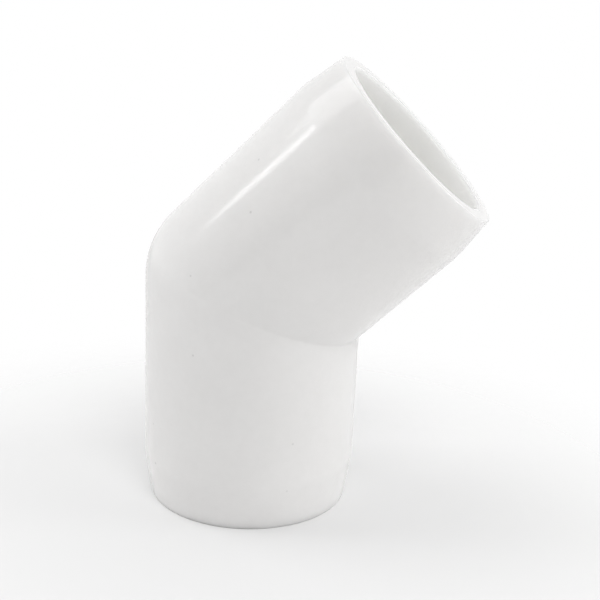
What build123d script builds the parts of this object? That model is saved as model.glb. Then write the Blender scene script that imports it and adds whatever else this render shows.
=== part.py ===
from build123d import *
from math import cos, radians, sin, tan
import os

# Plain-ended 45 degree elbow for solvent-cemented pressure pipe, moulded in one piece.
# Millimetres. The origin is the centre of the lower mouth's end face. +Z runs up the
# lower arm, and the upper arm leans towards +X, so the fitting is even about y = 0.

# The pipe that goes into both sockets: nominal half inch, Schedule 40.
pipe_outer_diameter = 21.34
pipe_clearance = 0.10

# Run of the fitting: how far the arms bend, how far the pipe goes in, and how much
# of each arm is left between the pipe stop and the mitre on the inside of the bend.
bend_angle = 45.0
socket_depth = 21.6
stop_to_mitre = 1.94

# Walls outside the sockets, and the outer shape.
body_wall = 3.13
rim_wall = 2.18
mouth_taper_length = 5.7
mouth_taper_blend = 7.0
rim_edge_radius = 0.15
heel_line_offset = 2.8

# Pipe stop and mouth, inside the sockets.
stop_ledge = 2.57
stop_edge_radius = 0.5
stop_corner_radius = 0.3
lead_in_radius = 0.45

# Radii that follow from the pipe and the walls.
socket_radius = pipe_outer_diameter / 2.0 + pipe_clearance
waterway_radius = socket_radius - stop_ledge
body_radius = socket_radius + body_wall
mouth_radius = socket_radius + rim_wall

# The two arms mirror each other about the mitre plane through the centre of the bend.
half_bend = radians(bend_angle / 2.0)
bend_height = socket_depth + stop_to_mitre + socket_radius * tan(half_bend)
bend_centre = (0.0, 0.0, bend_height)
mitre_normal = (sin(half_bend), 0.0, cos(half_bend))
mitre = Plane(origin=bend_centre, x_dir=(0.0, 1.0, 0.0), z_dir=mitre_normal)

# The heel is rounded about a line on the mitre plane, outside the arms' own axes.
heel_line_height = bend_height + heel_line_offset * tan(half_bend)
heel_line = Axis((-heel_line_offset, 0.0, heel_line_height), (0.0, 1.0, 0.0))

# The lower arm is first turned as a rod that reaches past the highest point of the mitre.
rod_length = bend_height + body_radius * tan(half_bend) + body_radius

os.makedirs("parts", exist_ok=True)


# elbow_body: the whole fitting, a single injection moulding of white rigid PVC.
with BuildPart() as elbow_body:
    # Outside of the lower arm, with the shallow taper that ends at the mouth.
    with BuildSketch(Plane.XZ) as arm_outline:
        with BuildLine() as arm_edge:
            Polyline(
                (0.0, 0.0),
                (mouth_radius, 0.0),
                (body_radius, mouth_taper_length),
                (body_radius, rod_length),
                (0.0, rod_length),
                close=True,
            )
        make_face()
        taper_start = arm_outline.vertices().group_by(Axis.Y)[1]
        fillet(taper_start, radius=mouth_taper_blend)
        rim_corner = arm_outline.vertices().group_by(Axis.Y)[0].sort_by(Axis.X)[-1]
        fillet(rim_corner, radius=rim_edge_radius)
    revolve(axis=Axis.Z)

    # The arm is cut off at the mitre, where its mirror image will join it.
    split(bisect_by=mitre, keep=Keep.BOTTOM)

    # The sharp corner of the mitre is taken off the heel, and a rounded heel replaces it.
    with BuildSketch(Plane.XY.offset(heel_line_height)) as heel_corner:
        with Locations((-heel_line_offset, 0.0)):
            Rectangle(
                2.0 * body_radius,
                2.0 * body_radius,
                align=(Align.MAX, Align.CENTER),
            )
    extrude(amount=rod_length, mode=Mode.SUBTRACT)
    with BuildSketch(Plane.XY.offset(heel_line_height)) as heel_section:
        Circle(body_radius)
        with Locations((-heel_line_offset, 0.0)):
            Rectangle(
                2.0 * body_radius,
                2.0 * body_radius,
                align=(Align.MAX, Align.CENTER),
                mode=Mode.INTERSECT,
            )
    revolve(axis=heel_line, revolution_arc=bend_angle / 2.0)

    # The socket ends at the pipe stop, and the narrower waterway goes on to the bend, where
    # a round nose carries the flow round the outside of the corner.
    with BuildSketch(Plane.XZ) as socket_outline:
        with BuildLine() as socket_edge:
            Line((0.0, 0.0), (socket_radius, 0.0))
            Line((socket_radius, 0.0), (socket_radius, socket_depth))
            Line((socket_radius, socket_depth), (waterway_radius, socket_depth))
            Line((waterway_radius, socket_depth), (waterway_radius, bend_height))
            CenterArc((0.0, bend_height), waterway_radius, 0.0, 90.0)
            Line((0.0, bend_height + waterway_radius), (0.0, 0.0))
        make_face()
        stop_corner = socket_outline.vertices().group_by(Axis.Y)[1].sort_by(Axis.X)[-1]
        fillet(stop_corner, radius=stop_corner_radius)
        stop_edge = socket_outline.vertices().group_by(Axis.Y)[2].sort_by(Axis.X)[0]
        fillet(stop_edge, radius=stop_edge_radius)
    revolve(axis=Axis.Z, mode=Mode.SUBTRACT)

    # A rounded lead-in eases the pipe into the mouth.
    mouth_edges = elbow_body.edges().filter_by(GeomType.CIRCLE).group_by(Axis.Z)[0]
    fillet(mouth_edges.sort_by(SortBy.RADIUS)[0], radius=lead_in_radius)

    # The upper arm is the lower arm's mirror image.
    mirror(about=mitre)

elbow_body.part.label = "elbow_body"
export_step(elbow_body.part, "parts/elbow_body.step")
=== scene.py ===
import math

import bmesh
import bpy
from mathutils import Matrix, Quaternion, Vector


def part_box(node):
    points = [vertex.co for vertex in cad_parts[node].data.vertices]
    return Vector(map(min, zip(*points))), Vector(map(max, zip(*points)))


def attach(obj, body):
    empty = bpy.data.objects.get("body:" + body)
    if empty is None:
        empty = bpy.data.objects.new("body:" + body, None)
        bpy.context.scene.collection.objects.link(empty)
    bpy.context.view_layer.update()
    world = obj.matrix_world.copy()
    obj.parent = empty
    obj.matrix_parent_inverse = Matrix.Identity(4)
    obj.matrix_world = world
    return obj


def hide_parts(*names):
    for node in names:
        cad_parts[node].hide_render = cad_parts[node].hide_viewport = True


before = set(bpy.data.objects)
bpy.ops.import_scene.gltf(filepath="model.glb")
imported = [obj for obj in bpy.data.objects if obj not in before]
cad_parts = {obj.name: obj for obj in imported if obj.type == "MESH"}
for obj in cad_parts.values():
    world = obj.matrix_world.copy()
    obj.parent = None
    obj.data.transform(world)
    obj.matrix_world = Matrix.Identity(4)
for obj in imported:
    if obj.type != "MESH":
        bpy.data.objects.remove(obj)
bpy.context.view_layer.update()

# ---------------------------------------------------------------------------------------
# elbow_moulding: a 45 degree pipe elbow, a single injection moulding of white rigid PVC.
# Two outer mould halves close on the elbow's plane of symmetry and leave a fine witness
# line, and two straight cores form the smooth sockets and the waterway between them.
# ---------------------------------------------------------------------------------------
mm = 0.001
elbow_low, elbow_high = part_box("elbow_body")
half_bend = math.radians(22.5)
body_radius = elbow_high.y
mouth_radius = 12.95 * mm
taper_length = 5.7 * mm
taper_blend = 7.0 * mm
rim_edge_radius = 0.15 * mm
lead_in_radius = 0.45 * mm
socket_radius = 10.77 * mm
socket_depth = 21.6 * mm
stop_corner_radius = 0.3 * mm
stop_edge_radius = 0.5 * mm
waterway_radius = 8.2 * mm
bend_height = 28.001 * mm
heel_offset = 2.8 * mm
witness_height = 0.035 * mm
witness_half_width = 0.12 * mm
heel_steps = 24
nose_steps = 20
turns = 256
merge = 0.001 * mm

# The skin is a hair smaller than the body, so that the witness line can stand proud of it.
skin_radius = body_radius - witness_height
taper_slope = (skin_radius - mouth_radius) / taper_length
taper_angle = math.atan(taper_slope)
mitre_normal = Vector((math.sin(half_bend), 0.0, math.cos(half_bend)))
bend_centre = Vector((0.0, 0.0, bend_height))
heel_line = Vector((-heel_offset, 0.0, bend_height + heel_offset * math.tan(half_bend)))
wall_middle = (socket_radius + mouth_radius) / 2.0


def corner(across, up, turn=0.0, radius=0.0, segments=1):
    """A corner of the wall's half section, and how it is rounded."""
    return (across, up, radius * math.tan(turn / 2.0), segments)


# Half section of the lower arm's wall: down the outside, round the rim, up the socket.
square = math.radians(90.0)
support = 0.3 * mm
section_corners = [
    corner(skin_radius, bend_height + body_radius),
    corner(skin_radius, taper_length + 1.2 * mm),
    corner(skin_radius, taper_length, taper_angle, taper_blend, 8),
    corner(mouth_radius + support * taper_slope, support),
    corner(mouth_radius, 0.0, square, rim_edge_radius, 4),
    corner(mouth_radius - support, 0.0),
    corner(socket_radius + lead_in_radius + support / 2.0, 0.0),
    corner(socket_radius, 0.0, square, lead_in_radius, 7),
    corner(socket_radius, lead_in_radius + support),
    corner(socket_radius, socket_depth - stop_corner_radius - support),
    corner(socket_radius, socket_depth, square, stop_corner_radius, 5),
    corner(socket_radius - stop_corner_radius - support, socket_depth),
    corner(waterway_radius + stop_edge_radius + support, socket_depth),
    corner(waterway_radius, socket_depth, square, stop_edge_radius, 6),
    corner(waterway_radius, socket_depth + stop_edge_radius + support),
    corner(waterway_radius, bend_height),
]
bm = bmesh.new()
section = [bm.verts.new((across, 0.0, up)) for across, up, _, _ in section_corners]
for above, below in zip(section, section[1:]):
    bm.edges.new((above, below))
waterway_end = section[-1]
for point, (_, _, offset, segments) in zip(section, section_corners):
    if offset > 0.0:
        bmesh.ops.bevel(
            bm,
            geom=[point],
            affect="VERTICES",
            offset_type="OFFSET",
            offset=offset,
            segments=segments,
            profile=0.5,
            material=-1,
        )

# A round nose closes the waterway's section, and the section turns once about the arm.
bmesh.ops.spin(
    bm,
    geom=[waterway_end],
    cent=bend_centre,
    axis=(0.0, 1.0, 0.0),
    angle=-square,
    steps=nose_steps,
)
bmesh.ops.spin(
    bm,
    geom=bm.verts[:] + bm.edges[:],
    cent=(0.0, 0.0, 0.0),
    axis=(0.0, 0.0, 1.0),
    angle=2.0 * math.pi,
    steps=turns,
    use_merge=True,
)
bmesh.ops.remove_doubles(bm, verts=bm.verts, dist=merge)


def outside(point):
    """Whether a point is on the arm's outer skin rather than in its socket."""
    return math.hypot(point.x, point.y) > wall_middle


def skin(side=None):
    """The faces of the outer skin, on the heel's side or the throat's if asked to."""
    found = [f for f in bm.faces if outside(f.calc_center_median())]
    if side == "heel":
        return [f for f in found if f.calc_center_median().x < -heel_offset]
    if side == "throat":
        return [f for f in found if f.calc_center_median().x > -heel_offset]
    return found


def cut(faces, at, normal):
    """Cuts some faces along a plane."""
    edges = {edge for face in faces for edge in face.edges}
    verts = {vert for face in faces for vert in face.verts}
    bmesh.ops.bisect_plane(
        bm,
        geom=list(faces) + list(edges) + list(verts),
        dist=merge / 10.0,
        plane_co=at,
        plane_no=normal,
    )


def past_bend(point):
    """Whether a point of the turned arm lies past the bend, where the other arm will be."""
    if outside(point) and point.x < -heel_offset:
        return point.z > heel_line.z + merge
    return (point - bend_centre).dot(mitre_normal) > merge


# The witness line's edges, then the skin's two sides, which meet the bend differently.
for side in (-1.0, 1.0):
    cut(skin(), (0.0, side * witness_half_width, 0.0), (0.0, 1.0, 0.0))
cut(skin(), heel_line, (1.0, 0.0, 0.0))
cut(skin("heel"), heel_line, (0.0, 0.0, 1.0))
socket_faces = [f for f in bm.faces if not outside(f.calc_center_median())]
cut(skin("throat") + socket_faces, bend_centre, mitre_normal)
bmesh.ops.delete(bm, geom=[v for v in bm.verts if past_bend(v.co)], context="VERTS")
for depth in (0.15 * mm, 0.3 * mm, 0.7 * mm):
    cut(skin("throat"), bend_centre - mitre_normal * depth, mitre_normal)

# The heel is turned about a line on the mitre, out from the arm's own axis.
heel_edges = [
    e
    for e in bm.edges
    if e.is_boundary
    and all(
        outside(v.co)
        and abs(v.co.z - heel_line.z) < merge
        and v.co.x < -heel_offset + merge
        for v in e.verts
    )
]
heel_verts = list({v for e in heel_edges for v in e.verts})
bmesh.ops.spin(
    bm,
    geom=heel_verts + heel_edges,
    cent=heel_line,
    axis=(0.0, 1.0, 0.0),
    angle=half_bend,
    steps=heel_steps,
)
bmesh.ops.remove_doubles(bm, verts=bm.verts, dist=merge)

# The witness line is raised along the plane of symmetry, all over the outer skin.
along_mitre = Vector((1.0, 0.0, -math.tan(half_bend)))
for vert in bm.verts:
    if abs(vert.co.y) < merge and outside(vert.co) and vert.co.z > support / 2.0:
        if vert.co.x > 0.0:
            on_mitre = abs((vert.co - bend_centre).dot(mitre_normal)) < merge
            away = along_mitre if on_mitre else Vector((1.0, 0.0, 0.0))
        elif vert.co.z > heel_line.z:
            away = (vert.co - heel_line).normalized()
        else:
            away = Vector((-1.0, 0.0, 0.0))
        vert.co += away * witness_height

# Faces formed by the cores take the second material, with its own gloss and peel and a
# lighter colour that is painted light in the bore, and the rim's edges are marked for wear.
for face in bm.faces:
    face.smooth = True
    middle = face.calc_center_median()
    on_core = math.hypot(middle.x, middle.y) < socket_radius + lead_in_radius - merge
    face.material_index = 1 if on_core else 0
rim_wear = bm.verts.layers.float.new("rim_wear")
for vert in bm.verts:
    across = math.hypot(vert.co.x, vert.co.y)
    on_outer_edge = across > mouth_radius - rim_edge_radius - merge
    on_inner_edge = across < socket_radius + lead_in_radius + merge
    if vert.co.z < lead_in_radius + merge and (
        (on_outer_edge and vert.co.z < rim_edge_radius + merge) or on_inner_edge
    ):
        vert[rim_wear] = 1.0

# The upper arm is the lower arm's mirror image about the mitre.
mirrored = bmesh.ops.duplicate(bm, geom=bm.verts[:] + bm.edges[:] + bm.faces[:])
about_mitre = (
    Matrix.Translation(bend_centre)
    @ Matrix.Scale(-1.0, 4, mitre_normal)
    @ Matrix.Translation(-bend_centre)
)
bmesh.ops.transform(
    bm,
    matrix=about_mitre,
    verts=[v for v in mirrored["geom"] if isinstance(v, bmesh.types.BMVert)],
)
bmesh.ops.remove_doubles(bm, verts=bm.verts, dist=2.0 * merge)

# The mould's corner in the throat isn't quite sharp, so the crease there is eased.
crease_verts = [
    v
    for v in bm.verts
    if abs((v.co - bend_centre).dot(mitre_normal)) < merge
    and v.co.x > 0.0
    and (v.co - bend_centre).length > wall_middle
]
bmesh.ops.smooth_vert(
    bm,
    verts=crease_verts,
    factor=0.3,
    use_axis_x=True,
    use_axis_y=True,
    use_axis_z=True,
)
bmesh.ops.recalc_face_normals(bm, faces=bm.faces)
elbow_mesh = bpy.data.meshes.new("elbow_moulding")
bm.to_mesh(elbow_mesh)
bm.free()
elbow = bpy.data.objects.new("elbow_moulding", elbow_mesh)
bpy.context.collection.objects.link(elbow)

# Moulded PVC: faint clouding from the pigment, a very fine orange peel, scattered dark
# specks from the granulate, hair scratches from handling, and rims dulled by knocks.
surface = bpy.data.node_groups.new("moulded_pvc", "ShaderNodeTree")
for name, kind in (
    ("Plastic Colour", "NodeSocketColor"),
    ("Gloss Roughness", "NodeSocketFloat"),
    ("Speck Depth", "NodeSocketFloat"),
    ("Peel Height", "NodeSocketFloat"),
):
    surface.interface.new_socket(name=name, in_out="INPUT", socket_type=kind)
for name, kind in (
    ("Colour", "NodeSocketColor"),
    ("Roughness", "NodeSocketFloat"),
    ("Normal", "NodeSocketVector"),
):
    surface.interface.new_socket(name=name, in_out="OUTPUT", socket_type=kind)
given = surface.nodes.new("NodeGroupInput")
made = surface.nodes.new("NodeGroupOutput")
place = surface.nodes.new("ShaderNodeTexCoord")


def noise(scale, detail=2.0, roughness=0.5, stretch=(1.0, 1.0, 1.0), turned=(0.0, 0.0, 0.0)):
    """A noise in the fitting's own coordinates, stretched and turned as asked."""
    mapping = surface.nodes.new("ShaderNodeMapping")
    mapping.inputs["Scale"].default_value = stretch
    mapping.inputs["Rotation"].default_value = turned
    surface.links.new(place.outputs["Object"], mapping.inputs["Vector"])
    texture = surface.nodes.new("ShaderNodeTexNoise")
    texture.inputs["Scale"].default_value = scale
    texture.inputs["Detail"].default_value = detail
    texture.inputs["Roughness"].default_value = roughness
    surface.links.new(mapping.outputs["Vector"], texture.inputs["Vector"])
    return texture.outputs["Fac"]


def remap(value, from_low, from_high, to_low, to_high):
    """A value mapped from one range to another and held inside it."""
    node = surface.nodes.new("ShaderNodeMapRange")
    node.clamp = True
    for socket, setting in (
        ("From Min", from_low),
        ("From Max", from_high),
        ("To Min", to_low),
        ("To Max", to_high),
    ):
        node.inputs[socket].default_value = setting
    surface.links.new(value, node.inputs["Value"])
    return node.outputs["Result"]


def combine(operation, first, second):
    """Two values combined by a math operation."""
    node = surface.nodes.new("ShaderNodeMath")
    node.operation = operation
    for socket, value in zip(node.inputs, (first, second)):
        if isinstance(value, float):
            socket.default_value = value
        else:
            surface.links.new(value, socket)
    return node.outputs["Value"]


# Specks: each cell of a coarse mosaic may hold a dot, and few cells have a large one.
specks = surface.nodes.new("ShaderNodeTexVoronoi")
specks.inputs["Scale"].default_value = 330.0
surface.links.new(place.outputs["Object"], specks.inputs["Vector"])
chance = surface.nodes.new("ShaderNodeSeparateColor")
surface.links.new(specks.outputs["Color"], chance.inputs["Color"])
speck_size = remap(chance.outputs["Red"], 0.1, 1.0, 0.0, 0.075)
speck_edge = combine("SUBTRACT", speck_size, specks.outputs["Distance"])
speck_mask = remap(speck_edge, 0.0, 0.05, 0.0, 1.0)

clouding = remap(noise(70.0, 3.0), 0.3, 0.7, 0.985, 1.015)
mottle = remap(noise(900.0, 3.0, 0.6), 0.3, 0.7, 0.992, 1.008)
worn = surface.nodes.new("ShaderNodeAttribute")
worn.attribute_name = "rim_wear"
wear_breakup = remap(noise(1400.0, 4.0, 0.6), 0.45, 0.7, 0.0, 1.0)
wear_mask = combine("MULTIPLY", worn.outputs["Fac"], wear_breakup)
long_scratch = noise(420.0, 2.0, 0.5, (1.0, 1.0, 0.03), (0.0, 0.35, 0.2))
cross_scratch = noise(380.0, 2.0, 0.5, (0.03, 1.0, 1.0), (0.3, 0.0, 0.5))
scratch_patches = remap(noise(60.0, 2.0), 0.52, 0.68, 0.0, 1.0)
scratches = combine(
    "MULTIPLY",
    combine(
        "MAXIMUM",
        remap(long_scratch, 0.70, 0.76, 0.0, 1.0),
        remap(cross_scratch, 0.72, 0.78, 0.0, 1.0),
    ),
    scratch_patches,
)

speck_tone = combine(
    "SUBTRACT", 1.0, combine("MULTIPLY", speck_mask, given.outputs["Speck Depth"])
)
wear_tone = remap(wear_mask, 0.0, 1.0, 1.0, 0.975)
tone = combine("MULTIPLY", combine("MULTIPLY", clouding, mottle), speck_tone)
tone = combine("MULTIPLY", tone, wear_tone)
tinted = surface.nodes.new("ShaderNodeVectorMath")
tinted.operation = "SCALE"
surface.links.new(given.outputs["Plastic Colour"], tinted.inputs[0])
surface.links.new(tone, tinted.inputs["Scale"])
surface.links.new(tinted.outputs["Vector"], made.inputs["Colour"])

gloss_patches = remap(noise(130.0, 4.0, 0.6), 0.3, 0.7, -0.012, 0.016)
roughness = combine("ADD", given.outputs["Gloss Roughness"], gloss_patches)
roughness = combine("ADD", roughness, remap(wear_mask, 0.0, 1.0, 0.0, 0.08))
roughness = combine("ADD", roughness, remap(scratches, 0.0, 1.0, 0.0, 0.12))
surface.links.new(roughness, made.inputs["Roughness"])

peel = combine("MULTIPLY", noise(1500.0, 2.0), given.outputs["Peel Height"])
nicks = combine("MULTIPLY", wear_mask, noise(1300.0, 3.0))
height = combine("SUBTRACT", peel, combine("MULTIPLY", nicks, 0.1))
height = combine("SUBTRACT", height, combine("MULTIPLY", scratches, 0.08))
bump = surface.nodes.new("ShaderNodeBump")
bump.inputs["Strength"].default_value = 0.35
bump.inputs["Distance"].default_value = 0.03 * mm
surface.links.new(height, bump.inputs["Height"])
surface.links.new(bump.outputs["Normal"], made.inputs["Normal"])


def pvc_material(name, colour, gloss_roughness, peel_height, light_depth):
    """One material of the moulding, for the skin against the cavity or the bore on the core;
    the bore's lighter colour is painted light.
    """
    material = bpy.data.materials.new(name)
    material.use_nodes = True
    tree = material.node_tree
    shader = tree.nodes["Principled BSDF"]
    shader.inputs["IOR"].default_value = 1.53
    shader.inputs["Subsurface Weight"].default_value = 1.0
    shader.inputs["Subsurface Radius"].default_value = (1.0, 1.0, 1.0)
    shader.inputs["Subsurface Scale"].default_value = light_depth
    plastic = tree.nodes.new("ShaderNodeGroup")
    plastic.node_tree = surface
    plastic.inputs["Plastic Colour"].default_value = (*colour, 1.0)
    plastic.inputs["Gloss Roughness"].default_value = gloss_roughness
    plastic.inputs["Speck Depth"].default_value = 0.24
    plastic.inputs["Peel Height"].default_value = peel_height
    tree.links.new(plastic.outputs["Colour"], shader.inputs["Base Color"])
    tree.links.new(plastic.outputs["Roughness"], shader.inputs["Roughness"])
    tree.links.new(plastic.outputs["Normal"], shader.inputs["Normal"])
    return material


elbow_mesh.materials.append(
    pvc_material("white_pvc", (0.870, 0.862, 0.854), 0.15, 1.0, 1.6 * mm)
)
# The bore's lighter colour is painted light: it stands in for the light that reaches inside
# the bore.
elbow_mesh.materials.append(
    pvc_material("white_pvc_bore_with_painted_light", (0.985, 0.976, 0.925), 0.3, 0.6, 3.0 * mm)
)
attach(elbow, "root")
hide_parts("elbow_body")

# ---------------------------------------------------------------------------------------
# Studio: a pale matt floor under a white surround, with soft lights in front, at the sides
# and low behind. The surround lights the fitting from the sides, the back and above.
# ---------------------------------------------------------------------------------------
floor_radius = 0.6
fade_start = 0.015
fade_end = 0.075
floor_bm = bmesh.new()
bmesh.ops.create_circle(floor_bm, cap_ends=True, segments=96, radius=floor_radius)
floor_mesh = bpy.data.meshes.new("studio_floor")
floor_bm.to_mesh(floor_mesh)
floor_bm.free()
floor = bpy.data.objects.new("studio_floor", floor_mesh)
bpy.context.collection.objects.link(floor)
floor_paint = bpy.data.materials.new("floor_paint")
floor_paint.use_nodes = True
floor_shader = floor_paint.node_tree.nodes["Principled BSDF"]
floor_shader.inputs["Base Color"].default_value = (0.92, 0.92, 0.92, 1.0)
floor_shader.inputs["Roughness"].default_value = 0.9
floor_shader.inputs["Specular IOR Level"].default_value = 0.1

# The floor melts into the white surround away from the fitting, so no edge of it is seen,
# and from below it is seen through.
floor_nodes, floor_links = floor_paint.node_tree.nodes, floor_paint.node_tree.links
floor_place = floor_nodes.new("ShaderNodeTexCoord")
from_centre = floor_nodes.new("ShaderNodeVectorMath")
from_centre.operation = "LENGTH"
floor_links.new(floor_place.outputs["Object"], from_centre.inputs[0])
fade = floor_nodes.new("ShaderNodeMapRange")
fade.interpolation_type = "SMOOTHSTEP"
fade.inputs["From Min"].default_value = fade_start
fade.inputs["From Max"].default_value = fade_end
floor_links.new(from_centre.outputs["Value"], fade.inputs["Value"])
floor_seen = floor_nodes.new("ShaderNodeLightPath")
floor_side = floor_nodes.new("ShaderNodeNewGeometry")
open_part = floor_nodes.new("ShaderNodeMath")
open_part.operation = "MAXIMUM"
floor_links.new(fade.outputs["Result"], open_part.inputs[0])
floor_links.new(floor_side.outputs["Backfacing"], open_part.inputs[1])
seen_fade = floor_nodes.new("ShaderNodeMath")
seen_fade.operation = "MULTIPLY"
floor_links.new(open_part.outputs["Value"], seen_fade.inputs[0])
floor_links.new(floor_seen.outputs["Is Camera Ray"], seen_fade.inputs[1])
clear = floor_nodes.new("ShaderNodeBsdfTransparent")
melt = floor_nodes.new("ShaderNodeMixShader")
floor_links.new(seen_fade.outputs["Value"], melt.inputs["Fac"])
floor_links.new(floor_shader.outputs["BSDF"], melt.inputs[1])
floor_links.new(clear.outputs["BSDF"], melt.inputs[2])
floor_links.new(melt.outputs["Shader"], floor_nodes["Material Output"].inputs["Surface"])
floor_mesh.materials.append(floor_paint)

world = bpy.data.worlds.new("studio")
bpy.context.scene.world = world
world.use_nodes = True
nodes, links = world.node_tree.nodes, world.node_tree.links
background = nodes["Background"]
facing = nodes.new("ShaderNodeTexCoord")
light_path = nodes.new("ShaderNodeLightPath")
total = None
for direction, brightness in (
    ((-1.0, 0.0, 0.0), 1.16),
    ((1.0, 0.0, 0.0), 0.65),
    ((0.0, 1.0, 0.0), 0.95),
    ((0.0, 0.0, 1.0), 0.46),
):
    towards = nodes.new("ShaderNodeVectorMath")
    towards.operation = "DOT_PRODUCT"
    towards.inputs[1].default_value = direction
    links.new(facing.outputs["Generated"], towards.inputs[0])
    lobe = nodes.new("ShaderNodeMath")
    lobe.operation = "MAXIMUM"
    lobe.inputs[1].default_value = 0.0
    links.new(towards.outputs["Value"], lobe.inputs[0])
    soft_lobe = nodes.new("ShaderNodeMath")
    soft_lobe.operation = "POWER"
    soft_lobe.inputs[1].default_value = 2.0
    links.new(lobe.outputs["Value"], soft_lobe.inputs[0])
    share = nodes.new("ShaderNodeMath")
    share.operation = "MULTIPLY_ADD"
    share.inputs[1].default_value = brightness
    share.inputs[2].default_value = 0.0
    links.new(soft_lobe.outputs["Value"], share.inputs[0])
    if total is not None:
        links.new(total.outputs["Value"], share.inputs[2])
    total = share
seen = nodes.new("ShaderNodeMix")
seen.data_type = "FLOAT"
seen.inputs["B"].default_value = 1.0
links.new(light_path.outputs["Is Camera Ray"], seen.inputs["Factor"])
links.new(total.outputs["Value"], seen.inputs["A"])
links.new(seen.outputs["Result"], background.inputs["Strength"])
background.inputs["Color"].default_value = (1.0, 1.0, 1.0, 1.0)


def studio_lamp(name, bearing, height, distance, width, length, brightness, tilt=0.0):
    """A soft lamp aimed at the fitting, round or oval, which the camera doesn't see."""
    lamp_data = bpy.data.lights.new(name, "AREA")
    lamp_data.shape = "DISK" if width == length else "ELLIPSE"
    lamp_data.size = width
    lamp_data.size_y = length
    lamp_data.energy = brightness * math.pi * math.pi * width * length / 4.0
    lamp = bpy.data.objects.new(name, lamp_data)
    bpy.context.collection.objects.link(lamp)
    turn, rise = math.radians(bearing), math.radians(height)
    away = Vector(
        (math.sin(turn) * math.cos(rise), -math.cos(turn) * math.cos(rise), math.sin(rise))
    )
    lamp.location = aim + away * distance
    tilted = Quaternion((0.0, 0.0, 1.0), math.radians(tilt))
    lamp.rotation_euler = (away.to_track_quat("Z", "Y") @ tilted).to_euler()
    lamp.visible_camera = False


# The round lights stand at one distance, high ones wider than low ones. The narrow strip
# lamp on the left is tilted, so that its reflection runs along the upper arm.
aim = Vector((0.005, 0.0, 0.028))
light_distance = 0.7
high_width = 0.42
low_width = 0.32
for name, bearing, height, width, brightness in (
    ("front_light", 30.0, 50.0, high_width, 3.45),
    ("left_light", 270.0, 50.0, high_width, 1.58),
    ("low_right_light", 100.0, 14.0, low_width, 3.5),
    ("low_back_right_light", 140.0, 14.0, low_width, 0.3),
):
    studio_lamp(name, bearing, height, light_distance, width, width, brightness)
studio_lamp("strip_lamp", -76.5, 30.9, 0.75, 0.085, 0.19, 5.2, -31.7)
bpy.context.scene.view_settings.view_transform = "Standard"

camera_data = bpy.data.cameras.new("camera")
camera_data.lens = 55.32
camera_data.clip_start = 0.005
camera = bpy.data.objects.new("camera", camera_data)
bpy.context.collection.objects.link(camera)
camera.location = (0.03265, -0.1114, 0.05565)
camera.rotation_euler = [math.radians(a) for a in (75.697, -2.415, 13.987)]
bpy.context.scene.camera = camera
